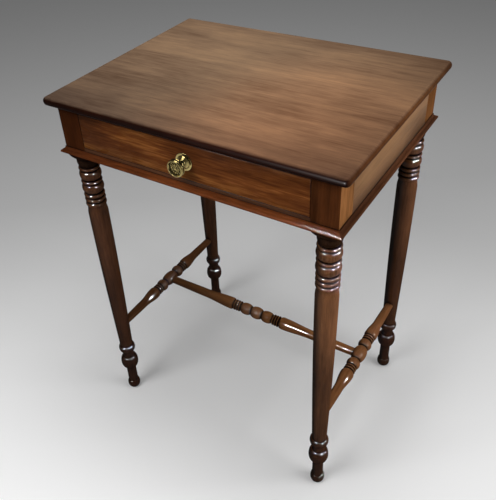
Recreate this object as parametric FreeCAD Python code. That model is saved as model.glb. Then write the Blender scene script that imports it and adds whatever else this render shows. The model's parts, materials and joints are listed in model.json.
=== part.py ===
"""Small tavern table with one drawer, on turned legs joined by a turned H-stretcher.

Lengths are in millimetres. The carcass is laid out about the middle of its plan, with the floor at
Z = 0, its long sides along X and the drawer front facing -Y. Every piece is written to
parts/NAME.step, moved along Y so that the whole table stands centred on the origin.
"""

import FreeCAD, Part
import math
import os

Vector = FreeCAD.Vector

# ---------------------------------------------------------------- table top
HEIGHT = 720.0
TOP_LENGTH = 535.0
TOP_DEPTH = 415.0
TOP_THICKNESS = 15.0
TOP_OVERHANG = 16.5  # past the frieze on all four sides
TOP_EDGE_FLAT = 1.0  # upright band left between the two rounds of the edge
TOP_CORNER_SPARE = 1.0  # radius of the corners past that of the edge

# ---------------------------------------------------------------- frieze
POST = 43.0  # square head of each leg
POST_BLANK_SPARE = 1.0  # turned blank past the corners of the square
FRIEZE_HEIGHT = 88.5
RAIL_THICKNESS = 18.0  # side and back rails
LOWER_RAIL_THICKNESS = 17.0  # rail below the drawer, laid flat
UPPER_RAIL_THICKNESS = 9.0  # rail above the drawer, laid flat
TENON_THICKNESS = 7.0
TENON_LENGTH = 22.0
TENON_SHOULDER = 13.0  # rail edge to tenon, at top and bottom
LOWER_TENON_THICKNESS = 8.0
LOWER_TENON_LENGTH = 20.0
LOWER_TENON_SHOULDER = 8.0
DOVETAIL_LENGTH = 20.0  # upper rail into the post heads
DOVETAIL_NARROW = 20.0
DOVETAIL_WIDE = 27.0
MORTISE_SPARE = 1.0  # glue space past the end of a tenon

# ---------------------------------------------------------------- moulding round the foot of the frieze
MOULDING_HEIGHT = 11.0
MOULDING_PROJECTION = 8.0
MOULDING_FILLET = 1.2
MOULDING_NOSING = 5.2  # height of the rounded lower edge

# ---------------------------------------------------------------- leg turning, from the floor up
BEAD_CREST = 0.5  # share of a bead's length that its crest takes
FOOT_FLAT = 5.0
FOOT_BALL = 13.0
FOOT_NECK = 9.5
FOOT_NECK_TOP = 57.0
VASE_RADIUS = 18.0
VASE_CREST = 76.0
VASE_TOP_RADIUS = 11.8
COLLAR_BOTTOM = 110.0
COLLAR_TOP = 135.0
COLLAR_RADIUS = 16.0
SHAFT_FOOT_RADIUS = 12.6
SEAT_RADIUS = 14.3  # parallel stretch of the shaft, where the stretcher is let in
SEAT_LENGTH = 24.0
SHAFT_RADIUS = 18.5
SHAFT_CREST = 18.5  # widest point of the shaft, below the rings
RING_ROOT = 17.2
RING_RADIUS = 18.9
BEAD_RADIUS = 19.3
RINGS_UPWARD = (
    ("ring", 9.5),
    ("ring", 8.0),
    ("ring", 7.0),
    ("ring", 7.5),
    ("bead", 17.5),
    ("ring", 11.0),
    ("bead", 15.5),
    ("ring", 10.0),
    ("bead", 14.5),
)
POMMEL_HEIGHT = 10.0  # sloping shoulder between the rings and the square
POST_BELOW_FRIEZE = 9.5  # frieze to the foot of the shoulder

# ---------------------------------------------------------------- stretchers, from mid-length outward
STRETCHER_HEIGHT = 192.0
STRETCHER_NECK = 6.8
STRETCHER_RING_ROOT = 8.2
STRETCHER_RING = 11.0
STRETCHER_RING_LENGTH = 5.5
STRETCHER_VASE = 12.7
STRETCHER_VASE_RISE = 7.0
ROUND_FIT = 0.05  # glue line round a turned tenon
SIDE_BALL = 13.5
SIDE_BALL_HALF = 18.0
SIDE_BEAD_LENGTH = 20.0
SIDE_TAPER = 44.0
SIDE_END_RADIUS = 7.8
SIDE_STOP = 2.5  # end of a side stretcher, short of the leg's axis
CROSS_BALL = 13.0
CROSS_OUTER_BALL = 12.2
CROSS_BALL_HALF = 13.0
CROSS_OUTER_BALL_HALF = 13.0
CROSS_RINGS = 3
CROSS_TAPER = 66.0
CROSS_END_RADIUS = 8.2
CROSS_STOP = 5.0  # end of the cross stretcher, short of the side stretcher's axis

# ---------------------------------------------------------------- drawer
DRAWER_END_GAP = 20.0  # behind the drawer, before the back rail
DRAWER_FRONT_THICKNESS = 18.0
DRAWER_FRONT_GAP = 0.8  # each side, and below and above the front
DRAWER_RUN_GAP = 0.3  # under the sides
DRAWER_SIDE_THICKNESS = 8.0
DRAWER_SIDE_DROP = 1.0  # top of the sides, below the top of the front
DRAWER_BACK_THICKNESS = 8.0
DRAWER_BACK_DROP = 3.0  # top of the back, below the top of the sides
DRAWER_LAP = 5.0  # wood left in front of the front dovetails
DRAWER_TAILS = 3
DRAWER_TAIL_SHARE = 0.72  # of the pitch, at a tail's wide end
DRAWER_TAIL_SLOPE = 1.8  # spread of a tail on each edge
BOTTOM_THICKNESS = 5.0
BOTTOM_RISE = 8.0  # lower edge of the sides to the bottom board
GROOVE_DEPTH = 4.0

# ---------------------------------------------------------------- drawer housing
RUNNER_WIDTH = 16.0  # inward of the posts
GUIDE_HEIGHT = 14.0
STOP_LENGTH = 30.0
STOP_WIDTH = 12.0
STOP_HEIGHT = 5.0
STOP_INSET = 70.0
TONGUE_LENGTH = 7.0
TONGUE_SHOULDER = 1.0
GLUE_BLOCK = 14.0
GLUE_BLOCK_LENGTH = 55.0
GLUE_BLOCKS = 3

# ---------------------------------------------------------------- brass knob
KNOB_ROSE_RADIUS = 14.5
KNOB_ROSE_RIM = 1.6
KNOB_ROSE_HEIGHT = 4.2
KNOB_COLLAR_RADIUS = 6.8
KNOB_COLLAR_LENGTH = 2.6
KNOB_STEM_RADIUS = 4.4
KNOB_STEM_LENGTH = 4.2
KNOB_RING_RADIUS = 6.4
KNOB_RING_LENGTH = 2.4
KNOB_FLARE_LENGTH = 2.6
KNOB_FLARE_RADIUS = 12.2
KNOB_HEAD_RADIUS = 14.5
KNOB_HEAD_HEIGHT = 8.7
KNOB_RIM = 2.4
KNOB_DISH = 1.8
KNOB_BOLT_RADIUS = 2.5
KNOB_BOLT_SPARE = 1.0  # thread past the nut
KNOB_NUT_ACROSS = 10.0
KNOB_NUT_HEIGHT = 4.0

# ---------------------------------------------------------------- places worked out from the sizes
TOP_EDGE_ROUND = (TOP_THICKNESS - TOP_EDGE_FLAT) / 2
TOP_CORNER_RADIUS = TOP_EDGE_ROUND + TOP_CORNER_SPARE
FRIEZE_LENGTH = TOP_LENGTH - 2 * TOP_OVERHANG
FRIEZE_DEPTH = TOP_DEPTH - 2 * TOP_OVERHANG
CARCASS_TOP = HEIGHT - TOP_THICKNESS
CARCASS_BOTTOM = CARCASS_TOP - FRIEZE_HEIGHT
SIDE = FRIEZE_LENGTH / 2  # outer face of a side rail
BACK = FRIEZE_DEPTH / 2  # outer face of the back rail
FRONT = -BACK
LEG_X = SIDE - POST / 2
LEG_Y = BACK - POST / 2
POST_X = SIDE - POST  # inner faces of the posts
POST_Y = BACK - POST
OPENING_BOTTOM = CARCASS_BOTTOM + LOWER_RAIL_THICKNESS
OPENING_TOP = CARCASS_TOP - UPPER_RAIL_THICKNESS
DRAWER_BOTTOM = OPENING_BOTTOM + DRAWER_RUN_GAP
DRAWER_FRONT_BOTTOM = OPENING_BOTTOM + DRAWER_FRONT_GAP
DRAWER_TOP = OPENING_TOP - DRAWER_FRONT_GAP
DRAWER_SIDE_TOP = DRAWER_TOP - DRAWER_SIDE_DROP
DRAWER_X = POST_X - DRAWER_FRONT_GAP  # outer face of a drawer side
DRAWER_BACK_Y = BACK - RAIL_THICKNESS - DRAWER_END_GAP
GROOVE_BOTTOM = DRAWER_BOTTOM + BOTTOM_RISE
GROOVE_TOP = GROOVE_BOTTOM + BOTTOM_THICKNESS
POMMEL_BOTTOM = CARCASS_BOTTOM - POST_BELOW_FRIEZE
RINGS_BOTTOM = POMMEL_BOTTOM - sum(length for _, length in RINGS_UPWARD)
KNOB_Z = (DRAWER_FRONT_BOTTOM + DRAWER_TOP) / 2
KNOB_STEM_REACH = KNOB_COLLAR_LENGTH + KNOB_STEM_LENGTH + KNOB_RING_LENGTH + KNOB_FLARE_LENGTH
KNOB_REACH = KNOB_ROSE_HEIGHT + KNOB_STEM_REACH + KNOB_HEAD_HEIGHT
CENTRE_SHIFT = (BACK + KNOB_REACH - TOP_DEPTH / 2) / 2

SAME = 1e-6  # lengths nearer than this are equal
LEFT_RIGHT = (("left", -1), ("right", 1))
FRONT_BACK = (("front", -1), ("back", 1))


def block(x, y, z):
    """A box between two values on each axis, given in either order."""
    corner = Vector(min(x), min(y), min(z))
    return Part.makeBox(abs(x[1] - x[0]), abs(y[1] - y[0]), abs(z[1] - z[0]), corner)


def prism(points, along):
    """The flat polygon through the points, pushed along a vector."""
    return Part.Face(Part.makePolygon(points + points[:1])).extrude(along)


def placed(shape, x, y, z, axis=Vector(0, 0, 1), angle=0.0):
    """A copy of the shape, turned about an axis through the origin and then moved."""
    copy = shape.copy()
    turn = FreeCAD.Rotation(axis, angle)
    copy.Placement = FreeCAD.Placement(Vector(x, y, z), turn).multiply(copy.Placement)
    return copy


class Turning:
    """Half outline of a lathe-turned piece: radius against distance along its axis.

    A long piece may have its slanted cuts as splines, which mesh in fewer facets than cones there.
    """

    def __init__(self, radius, start=0.0, splines=False):
        self.splines = splines
        self.first = Vector(radius, 0, start)
        self.here = self.first
        self.edges = []

    def ahead(self, radius, length):
        """The point at a radius, some way along from the present one."""
        return Vector(radius, 0, self.here.z + length)

    def line(self, radius, length):
        """A straight run to a new radius."""
        self.cut(self.ahead(radius, length))

    def ring(self, length, crest):
        """A thin ring with a sharp crest, back to the radius that it starts from."""
        root = self.here.x
        self.line(crest, length / 2)
        self.line(root, length / 2)

    def bead(self, radius, length, crest):
        """A round with a level crest between two slanted shoulders."""
        level = length * BEAD_CREST
        shoulder = (length - level) / 2
        self.line(crest, shoulder)
        self.line(crest, level)
        self.line(radius, shoulder)

    def rise(self, radius, length):
        """A swelling in two cuts that arrives at its end nearly parallel to the axis."""
        end = self.ahead(radius, length)
        self.cut(between(end, self.here))
        self.cut(end)

    def fall(self, radius, length):
        """A swelling in two cuts that leaves its start nearly parallel to the axis."""
        end = self.ahead(radius, length)
        self.cut(between(self.here, end))
        self.cut(end)

    def cut(self, end):
        """One straight cut."""
        edge = Part.makeLine(self.here, end)
        slanted = abs(end.x - self.here.x) > SAME and abs(end.z - self.here.z) > SAME
        if self.splines and slanted:
            edge = edge.toNurbs().Edges[0]
        self.edges.append(edge)
        self.here = end

    def solid(self, mirrored=False):
        """The outline turned a full circle, with its mirror image if it starts at mid-length."""
        edges = list(self.edges)
        start = self.first
        if mirrored:
            edges += [edge.mirror(Vector(0, 0, 0), Vector(0, 0, 1)) for edge in self.edges]
            start = Vector(self.here.x, 0, -self.here.z)
        axis_start = Vector(0, 0, start.z)
        axis_end = Vector(0, 0, self.here.z)
        edges.append(Part.makeLine(axis_start, start))
        edges.append(Part.makeLine(axis_start, axis_end))
        edges.append(Part.makeLine(axis_end, self.here))
        face = Part.Face(Part.Wire(Part.__sortEdges__(edges)))
        return face.revolve(Vector(0, 0, 0), Vector(0, 0, 1), 360)


def between(crest, foot):
    """A point half-way along the arc from a foot to the crest where it runs parallel to the axis."""
    height = crest.x - foot.x
    length = crest.z - foot.z
    bend = (height * height + length * length) / (2 * height)
    half = math.atan2(abs(length), abs(bend) - abs(height)) / 2
    along = math.copysign(abs(bend) * math.sin(half), length)
    return Vector(crest.x - bend * (1 - math.cos(half)), 0, crest.z - along)


# ---------------------------------------------------------------- top
def top_board():
    """The top: one board with rounded corners and a half-round edge all round."""
    x = (-TOP_LENGTH / 2, TOP_LENGTH / 2)
    y = (-TOP_DEPTH / 2, TOP_DEPTH / 2)
    board = block(x, y, (CARCASS_TOP, HEIGHT))
    upright = [edge for edge in board.Edges if edge.BoundBox.ZLength > TOP_THICKNESS / 2]
    board = board.makeFillet(TOP_CORNER_RADIUS, upright)
    rims = [edge for edge in board.Edges if edge.BoundBox.ZLength < TOP_THICKNESS / 2]
    return board.makeFillet(TOP_EDGE_ROUND, rims)


# ---------------------------------------------------------------- legs
def leg_turning():
    """The round part of a leg: ball foot, neck, vase, collar, tapered shaft, rings and beads."""
    turned = Turning(FOOT_FLAT, splines=True)
    ball_centre = math.sqrt(FOOT_BALL**2 - FOOT_FLAT**2)
    turned.rise(FOOT_BALL, ball_centre)
    turned.fall(FOOT_NECK, ball_centre)
    turned.line(FOOT_NECK, FOOT_NECK_TOP - turned.here.z)
    turned.rise(VASE_RADIUS, VASE_CREST - FOOT_NECK_TOP)
    turned.fall(VASE_TOP_RADIUS, COLLAR_BOTTOM - VASE_CREST)
    turned.bead(SHAFT_FOOT_RADIUS, COLLAR_TOP - COLLAR_BOTTOM, COLLAR_RADIUS)
    turned.line(SEAT_RADIUS, STRETCHER_HEIGHT - SEAT_LENGTH / 2 - COLLAR_TOP)
    turned.line(SEAT_RADIUS, SEAT_LENGTH)
    turned.rise(SHAFT_RADIUS, RINGS_BOTTOM - SHAFT_CREST - turned.here.z)
    turned.line(RING_ROOT, SHAFT_CREST)
    for kind, length in RINGS_UPWARD:
        if kind == "bead":
            turned.bead(RING_ROOT, length, BEAD_RADIUS)
        else:
            turned.ring(length, RING_RADIUS)
    turned.line(RING_ROOT, POMMEL_HEIGHT)
    return turned.solid()


def leg_blank():
    """One leg about its own axis, before its mortises are cut."""
    half = POST / 2
    past_corner = math.hypot(half, half) + POST_BLANK_SPARE
    shoulder = Turning(RING_ROOT, POMMEL_BOTTOM)
    shoulder.line(past_corner, POMMEL_HEIGHT)
    shoulder.line(past_corner, CARCASS_TOP - shoulder.here.z)
    post = block((-half, half), (-half, half), (POMMEL_BOTTOM, CARCASS_TOP)).common(shoulder.solid())
    return leg_turning().fuse(post).removeSplitter()


def stretcher_socket(x_sign, y_sign):
    """The round hole in a leg that takes the end of its side stretcher."""
    inward = Vector(0, -y_sign, 0)
    hole = Part.makeCylinder(SIDE_END_RADIUS + ROUND_FIT, POST, Vector(0, 0, 0), inward)
    return placed(hole, x_sign * LEG_X, y_sign * (LEG_Y - SIDE_STOP + ROUND_FIT), STRETCHER_HEIGHT)


def leg(x_sign, y_sign, blank):
    """A leg in its corner, with its stretcher socket and the mortises of the rails that meet it."""
    cuts = [stretcher_socket(x_sign, y_sign), side_tenon(x_sign, y_sign, MORTISE_SPARE)]
    if y_sign > 0:
        cuts.append(back_tenon(x_sign, MORTISE_SPARE))
    else:
        cuts.append(lower_tenon(x_sign, MORTISE_SPARE))
        cuts.append(rail_dovetail(x_sign))
    return placed(blank, x_sign * LEG_X, y_sign * LEG_Y, 0).cut(Part.makeCompound(cuts))


# ---------------------------------------------------------------- rails
TENON_HEIGHTS = (CARCASS_BOTTOM + TENON_SHOULDER, CARCASS_TOP - TENON_SHOULDER)


def tenon_cheeks(outer_face):
    """The two cheeks of the tenon in the middle of a side or back rail's thickness."""
    middle = outer_face - RAIL_THICKNESS / 2
    return (middle - TENON_THICKNESS / 2, middle + TENON_THICKNESS / 2)


def side_tenon(x_sign, y_sign, spare=0.0):
    """The tenon at one end of a side rail. The spare length makes its mortise."""
    x = [x_sign * cheek for cheek in tenon_cheeks(SIDE)]
    y = (y_sign * POST_Y, y_sign * (POST_Y + TENON_LENGTH + spare))
    return block(x, y, TENON_HEIGHTS)


def back_tenon(x_sign, spare=0.0):
    """The tenon at one end of the back rail. The spare length makes its mortise."""
    x = (x_sign * POST_X, x_sign * (POST_X + TENON_LENGTH + spare))
    return block(x, tenon_cheeks(BACK), TENON_HEIGHTS)


def lower_tenon(x_sign, spare=0.0):
    """The tenon at one end of the rail below the drawer. The spare length makes its mortise."""
    x = (x_sign * POST_X, x_sign * (POST_X + LOWER_TENON_LENGTH + spare))
    y = (FRONT + LOWER_TENON_SHOULDER, FRONT + POST - LOWER_TENON_SHOULDER)
    middle = (CARCASS_BOTTOM + OPENING_BOTTOM) / 2
    z = (middle - LOWER_TENON_THICKNESS / 2, middle + LOWER_TENON_THICKNESS / 2)
    return block(x, y, z)


def rail_dovetail(x_sign):
    """The dovetail that locks the rail above the drawer into a post head."""
    middle = FRONT + POST / 2
    near = x_sign * POST_X
    far = x_sign * (POST_X + DOVETAIL_LENGTH)
    points = [
        Vector(near, middle - DOVETAIL_NARROW / 2, OPENING_TOP),
        Vector(far, middle - DOVETAIL_WIDE / 2, OPENING_TOP),
        Vector(far, middle + DOVETAIL_WIDE / 2, OPENING_TOP),
        Vector(near, middle + DOVETAIL_NARROW / 2, OPENING_TOP),
    ]
    return prism(points, Vector(0, 0, UPPER_RAIL_THICKNESS))


def side_rail(x_sign):
    """A side rail, flush with the outer faces of its posts."""
    x = (x_sign * SIDE, x_sign * (SIDE - RAIL_THICKNESS))
    rail = block(x, (-POST_Y, POST_Y), (CARCASS_BOTTOM, CARCASS_TOP))
    return rail.fuse([side_tenon(x_sign, -1), side_tenon(x_sign, 1)]).removeSplitter()


def back_rail():
    """The back rail, flush with the outer faces of its posts."""
    rail = block((-POST_X, POST_X), (BACK - RAIL_THICKNESS, BACK), (CARCASS_BOTTOM, CARCASS_TOP))
    return rail.fuse([back_tenon(-1), back_tenon(1)]).removeSplitter()


def front_rail(low, high, end_joint):
    """A rail laid flat above or below the drawer, grooved behind for the ledges' tongues."""
    rail = block((-POST_X, POST_X), (FRONT, FRONT + POST), (low, high))
    rail = rail.fuse([end_joint(-1), end_joint(1)]).removeSplitter()
    return rail.cut(Part.makeCompound([tongue(-1, low, high), tongue(1, low, high)]))


# ---------------------------------------------------------------- drawer housing
def tongue(x_sign, low, high):
    """The tongue that a runner or kicker has in the rail in front of it."""
    third = (high - low) / 3
    x = (x_sign * (POST_X - RUNNER_WIDTH + TONGUE_SHOULDER), x_sign * (POST_X - TONGUE_SHOULDER))
    return block(x, (-POST_Y - TONGUE_LENGTH, -POST_Y), (low + third, high - third))


def ledge(x_sign, low, high):
    """A runner or kicker along a side rail, notched round the back post."""
    rail = x_sign * (SIDE - RAIL_THICKNESS)
    back = BACK - RAIL_THICKNESS
    bar = block((x_sign * (POST_X - RUNNER_WIDTH), rail), (-POST_Y, back), (low, high))
    notch = block((x_sign * POST_X, rail), (POST_Y, back), (low, high))
    return bar.cut(notch).fuse(tongue(x_sign, low, high)).removeSplitter()


def guide(x_sign):
    """The strip on a runner that guides the drawer's side, in line with the posts."""
    x = (x_sign * POST_X, x_sign * (SIDE - RAIL_THICKNESS))
    return block(x, (-POST_Y, POST_Y), (OPENING_BOTTOM, OPENING_BOTTOM + GUIDE_HEIGHT))


def drawer_stop(x_sign):
    """The block on the lower rail that the back of the drawer front comes up against."""
    near = FRONT + DRAWER_FRONT_THICKNESS + DRAWER_RUN_GAP
    x = (x_sign * (POST_X - STOP_INSET), x_sign * (POST_X - STOP_INSET - STOP_LENGTH))
    return block(x, (near, near + STOP_WIDTH), (OPENING_BOTTOM, OPENING_BOTTOM + STOP_HEIGHT))


def glue_blocks():
    """Three-cornered blocks glued in the angle between the back rail and the top."""
    inside = BACK - RAIL_THICKNESS
    first = -(POST_X - RUNNER_WIDTH) + GLUE_BLOCK_LENGTH / 2
    pitch = -2 * first / (GLUE_BLOCKS - 1)
    blocks = []
    for i in range(GLUE_BLOCKS):
        left = first + i * pitch - GLUE_BLOCK_LENGTH / 2
        points = [
            Vector(left, inside, CARCASS_TOP),
            Vector(left, inside - GLUE_BLOCK, CARCASS_TOP),
            Vector(left, inside, CARCASS_TOP - GLUE_BLOCK),
        ]
        blocks.append(prism(points, Vector(GLUE_BLOCK_LENGTH, 0, 0)))
    return Part.makeCompound(blocks)


# ---------------------------------------------------------------- moulding
def moulding(half_length, offset, angle):
    """One length of the moulding, mitred at both ends and turned to its side of the frieze."""
    top = CARCASS_BOTTOM + MOULDING_HEIGHT
    nose = MOULDING_NOSING / 2
    face = -offset
    tip = -offset - MOULDING_PROJECTION
    hollow_start = Vector(0, face - MOULDING_FILLET, top)
    hollow_end = Vector(0, tip + nose, CARCASS_BOTTOM + MOULDING_NOSING)
    hollow = Vector(0, (hollow_start.y * 2 + hollow_end.y) / 3, (hollow_start.z + hollow_end.z * 2) / 3)
    nose_end = Vector(0, tip + nose, CARCASS_BOTTOM)
    edges = [
        Part.makeLine(Vector(0, face, top), hollow_start),
        Part.Arc(hollow_start, hollow, hollow_end).toShape(),
        Part.Arc(hollow_end, Vector(0, tip, CARCASS_BOTTOM + nose), nose_end).toShape(),
        Part.makeLine(nose_end, Vector(0, face, CARCASS_BOTTOM)),
        Part.makeLine(Vector(0, face, CARCASS_BOTTOM), Vector(0, face, top)),
    ]
    far = half_length + MOULDING_PROJECTION
    strip = placed(Part.Face(Part.Wire(edges)).extrude(Vector(2 * far, 0, 0)), -far, 0, 0)
    plan = [
        Vector(-half_length, face, CARCASS_BOTTOM),
        Vector(half_length, face, CARCASS_BOTTOM),
        Vector(far, tip, CARCASS_BOTTOM),
        Vector(-far, tip, CARCASS_BOTTOM),
    ]
    mitred = strip.common(prism(plan, Vector(0, 0, MOULDING_HEIGHT)))
    return placed(mitred, 0, 0, 0, angle=angle)


# ---------------------------------------------------------------- stretchers
def side_stretcher(x_sign):
    """A side stretcher: a ball at mid-length for the cross stretcher, then bead, rings and vase."""
    turned = Turning(SIDE_BALL)
    turned.fall(STRETCHER_NECK, SIDE_BALL_HALF)
    turned.bead(STRETCHER_RING_ROOT, SIDE_BEAD_LENGTH, STRETCHER_VASE)
    turned.ring(STRETCHER_RING_LENGTH, STRETCHER_RING)
    turned.ring(STRETCHER_RING_LENGTH, STRETCHER_RING)
    turned.line(STRETCHER_VASE, STRETCHER_VASE_RISE)
    turned.fall(SIDE_END_RADIUS, SIDE_TAPER)
    turned.line(SIDE_END_RADIUS, LEG_Y - SIDE_STOP - turned.here.z)
    along_y = turned.solid(mirrored=True)
    bar = placed(along_y, x_sign * LEG_X, 0, STRETCHER_HEIGHT, Vector(1, 0, 0), 90)
    hole = Part.makeCylinder(CROSS_END_RADIUS + ROUND_FIT, POST, Vector(0, 0, 0), Vector(-x_sign, 0, 0))
    return bar.cut(placed(hole, x_sign * (LEG_X - CROSS_STOP + ROUND_FIT), 0, STRETCHER_HEIGHT))


def cross_stretcher():
    """The cross stretcher: three balls, two groups of rings and long tapered vases."""
    turned = Turning(CROSS_BALL)
    turned.fall(STRETCHER_NECK, CROSS_BALL_HALF)
    turned.rise(CROSS_OUTER_BALL, CROSS_OUTER_BALL_HALF)
    turned.fall(STRETCHER_RING_ROOT, CROSS_OUTER_BALL_HALF)
    for _ in range(CROSS_RINGS):
        turned.ring(STRETCHER_RING_LENGTH, STRETCHER_RING)
    turned.line(STRETCHER_VASE, STRETCHER_VASE_RISE)
    turned.fall(CROSS_END_RADIUS, CROSS_TAPER)
    turned.line(CROSS_END_RADIUS, LEG_X - CROSS_STOP - turned.here.z)
    return placed(turned.solid(mirrored=True), 0, 0, STRETCHER_HEIGHT, Vector(0, 1, 0), 90)


# ---------------------------------------------------------------- drawer
def tails(x_sign, narrow_y, wide_y):
    """The dovetails at one end of a drawer side, from their narrow roots to their wide ends."""
    pitch = (DRAWER_SIDE_TOP - DRAWER_FRONT_BOTTOM) / DRAWER_TAILS
    wide = pitch * DRAWER_TAIL_SHARE / 2
    narrow = wide - DRAWER_TAIL_SLOPE
    x = x_sign * (DRAWER_X - DRAWER_SIDE_THICKNESS)
    shapes = []
    for i in range(DRAWER_TAILS):
        middle = DRAWER_FRONT_BOTTOM + (i + 0.5) * pitch
        points = [
            Vector(x, narrow_y, middle - narrow),
            Vector(x, wide_y, middle - wide),
            Vector(x, wide_y, middle + wide),
            Vector(x, narrow_y, middle + narrow),
        ]
        shapes.append(prism(points, Vector(x_sign * DRAWER_SIDE_THICKNESS, 0, 0)))
    return shapes


def front_tails(x_sign):
    """The tails lapped by the drawer front."""
    return tails(x_sign, FRONT + DRAWER_FRONT_THICKNESS, FRONT + DRAWER_LAP)


def back_tails(x_sign):
    """The tails that pass right through the drawer back."""
    return tails(x_sign, DRAWER_BACK_Y - DRAWER_BACK_THICKNESS, DRAWER_BACK_Y)


def bottom_board():
    """The drawer bottom, let into grooves in the front and sides and passing under the back."""
    x = DRAWER_X - DRAWER_SIDE_THICKNESS + GROOVE_DEPTH
    y = (FRONT + DRAWER_FRONT_THICKNESS - GROOVE_DEPTH, DRAWER_BACK_Y)
    return block((-x, x), y, (GROOVE_BOTTOM, GROOVE_TOP))


def drawer_front():
    """The drawer front, with lapped dovetail sockets, a groove for the bottom and the bolt hole."""
    y = (FRONT, FRONT + DRAWER_FRONT_THICKNESS)
    panel = block((-DRAWER_X, DRAWER_X), y, (DRAWER_FRONT_BOTTOM, DRAWER_TOP))
    hole = Part.makeCylinder(KNOB_BOLT_RADIUS + ROUND_FIT, DRAWER_FRONT_THICKNESS)
    hole = on_drawer_front(hole, -DRAWER_FRONT_THICKNESS)
    return panel.cut(Part.makeCompound(front_tails(-1) + front_tails(1) + [bottom_board(), hole]))


def drawer_side(x_sign):
    """A drawer side, with tails at both ends and a groove for the bottom."""
    x = (x_sign * DRAWER_X, x_sign * (DRAWER_X - DRAWER_SIDE_THICKNESS))
    y = (FRONT + DRAWER_FRONT_THICKNESS, DRAWER_BACK_Y - DRAWER_BACK_THICKNESS)
    plank = block(x, y, (DRAWER_BOTTOM, DRAWER_SIDE_TOP))
    plank = plank.fuse(front_tails(x_sign) + back_tails(x_sign)).removeSplitter()
    return plank.cut(bottom_board())


def drawer_back():
    """The drawer back, standing on the bottom board, with through dovetail sockets."""
    y = (DRAWER_BACK_Y - DRAWER_BACK_THICKNESS, DRAWER_BACK_Y)
    board = block((-DRAWER_X, DRAWER_X), y, (GROOVE_TOP, DRAWER_SIDE_TOP - DRAWER_BACK_DROP))
    return board.cut(Part.makeCompound(back_tails(-1) + back_tails(1)))


# ---------------------------------------------------------------- brass knob
def on_drawer_front(shape, out=0.0):
    """A piece made about Z, laid along -Y at the middle of the drawer front."""
    return placed(shape, 0, FRONT - out, KNOB_Z, Vector(1, 0, 0), 90)


def knob_rose():
    """The round plate between the knob and the drawer front."""
    outline = Turning(KNOB_ROSE_RADIUS)
    outline.line(KNOB_ROSE_RADIUS, KNOB_ROSE_RIM)
    outline.fall(KNOB_COLLAR_RADIUS, KNOB_ROSE_HEIGHT - KNOB_ROSE_RIM)
    hole = Part.makeCylinder(KNOB_BOLT_RADIUS + ROUND_FIT, KNOB_ROSE_HEIGHT)
    return on_drawer_front(outline.solid().cut(hole))


def knob():
    """The knob in one casting: bolt, ringed stem, flared head with a rounded rim and a dished face."""
    bolt = DRAWER_FRONT_THICKNESS + KNOB_NUT_HEIGHT + KNOB_BOLT_SPARE
    outline = Turning(KNOB_BOLT_RADIUS, -bolt)
    outline.line(KNOB_BOLT_RADIUS, bolt + KNOB_ROSE_HEIGHT)
    outline.line(KNOB_COLLAR_RADIUS, 0)
    outline.line(KNOB_STEM_RADIUS, KNOB_COLLAR_LENGTH)
    outline.line(KNOB_STEM_RADIUS, KNOB_STEM_LENGTH)
    outline.ring(KNOB_RING_LENGTH, KNOB_RING_RADIUS)
    outline.line(KNOB_FLARE_RADIUS, KNOB_FLARE_LENGTH)
    outline.bead(KNOB_HEAD_RADIUS - KNOB_RIM / 2, KNOB_HEAD_HEIGHT, KNOB_HEAD_RADIUS)
    outline.line(KNOB_HEAD_RADIUS - KNOB_RIM, 0)
    outline.line(KNOB_HEAD_RADIUS - KNOB_RIM, -KNOB_DISH)
    return on_drawer_front(outline.solid())


def knob_nut():
    """The square nut inside the drawer."""
    half = KNOB_NUT_ACROSS / 2
    nut = block((-half, half), (-half, half), (0, KNOB_NUT_HEIGHT))
    nut = nut.cut(Part.makeCylinder(KNOB_BOLT_RADIUS + ROUND_FIT, KNOB_NUT_HEIGHT))
    return on_drawer_front(nut, -DRAWER_FRONT_THICKNESS - KNOB_NUT_HEIGHT)


# ---------------------------------------------------------------- the whole table
def frame_pieces():
    """The top, legs, rails, mouldings, stretchers and drawer housing, by name."""
    pieces = {
        "top_board": top_board(),
        "back_rail": back_rail(),
        "lower_front_rail": front_rail(CARCASS_BOTTOM, OPENING_BOTTOM, lower_tenon),
        "upper_front_rail": front_rail(OPENING_TOP, CARCASS_TOP, rail_dovetail),
        "glue_blocks": glue_blocks(),
        "moulding_front": moulding(SIDE, BACK, 0),
        "moulding_back": moulding(SIDE, BACK, 180),
        "cross_stretcher": cross_stretcher(),
    }
    blank = leg_blank()
    for side, x_sign in LEFT_RIGHT:
        pieces[f"side_rail_{side}"] = side_rail(x_sign)
        pieces[f"moulding_{side}"] = moulding(BACK, SIDE, 90 * x_sign)
        pieces[f"drawer_runner_{side}"] = ledge(x_sign, CARCASS_BOTTOM, OPENING_BOTTOM)
        pieces[f"drawer_kicker_{side}"] = ledge(x_sign, OPENING_TOP, CARCASS_TOP)
        pieces[f"drawer_guide_{side}"] = guide(x_sign)
        pieces[f"drawer_stop_{side}"] = drawer_stop(x_sign)
        pieces[f"side_stretcher_{side}"] = side_stretcher(x_sign)
        for end, y_sign in FRONT_BACK:
            pieces[f"leg_{end}_{side}"] = leg(x_sign, y_sign, blank)
    return pieces


def drawer_pieces():
    """The drawer and its knob, by name."""
    pieces = {
        "drawer_front": drawer_front(),
        "drawer_back": drawer_back(),
        "drawer_bottom": bottom_board(),
        "knob_rose": knob_rose(),
        "knob": knob(),
        "knob_nut": knob_nut(),
    }
    for side, x_sign in LEFT_RIGHT:
        pieces[f"drawer_side_{side}"] = drawer_side(x_sign)
    return pieces


def main():
    """Build every piece and write its STEP file."""
    os.makedirs("parts", exist_ok=True)
    for name, shape in {**frame_pieces(), **drawer_pieces()}.items():
        placed(shape, 0, CENTRE_SHIFT, 0).exportStep(f"parts/{name}.step")


main()
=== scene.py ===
"""Dresses a small mahogany tavern table with one drawer, turned legs and a turned H-stretcher."""

import json
import math

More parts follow.
